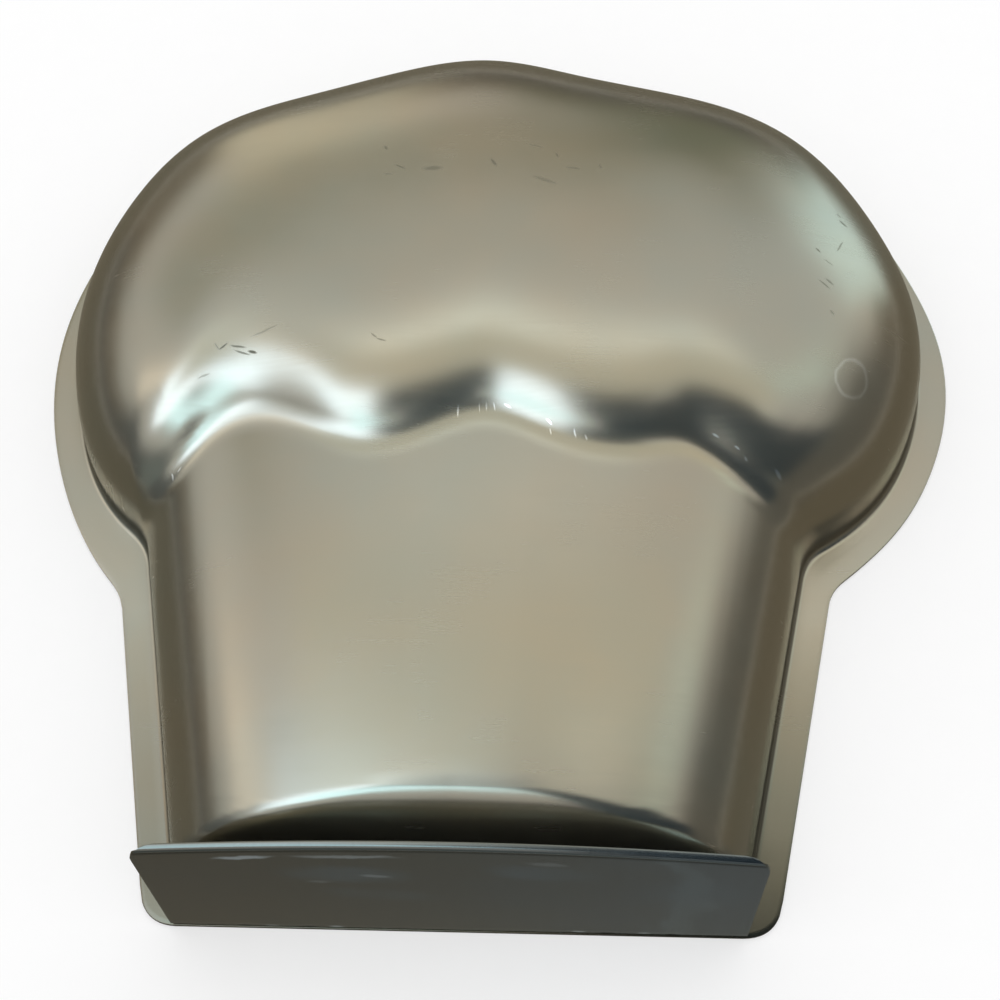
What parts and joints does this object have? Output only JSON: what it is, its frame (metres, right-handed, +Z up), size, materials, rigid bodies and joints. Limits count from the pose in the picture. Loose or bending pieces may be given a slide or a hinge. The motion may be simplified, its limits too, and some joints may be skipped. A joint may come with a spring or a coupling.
{
  "type": "giant cupcake pan",
  "caption": "Shallow aluminium cake mould in the shape of a big cupcake, with a flat rim all round and a folded upright foot that holds it level in the oven.",
  "frame": {"origin": "middle of the bounding box in plan, on the plane of the rim's open side", "axes": "+Z up from the rim to the dome's crown, +Y from the foot to the frosting dome, +X to the right seen from the foot"},
  "size_m": [0.287, 0.308, 0.056],
  "materials": {
    "satin_aluminium": "satin, half mirror, with fine drawing lines and small scratches",
    "shaded_aluminium": "satin, with upright drawing lines"
  },
  "bodies": {
    "root": {"pan_shell": "satin_aluminium", "levelling_foot": "shaded_aluminium"}
  },
  "joints": []
}
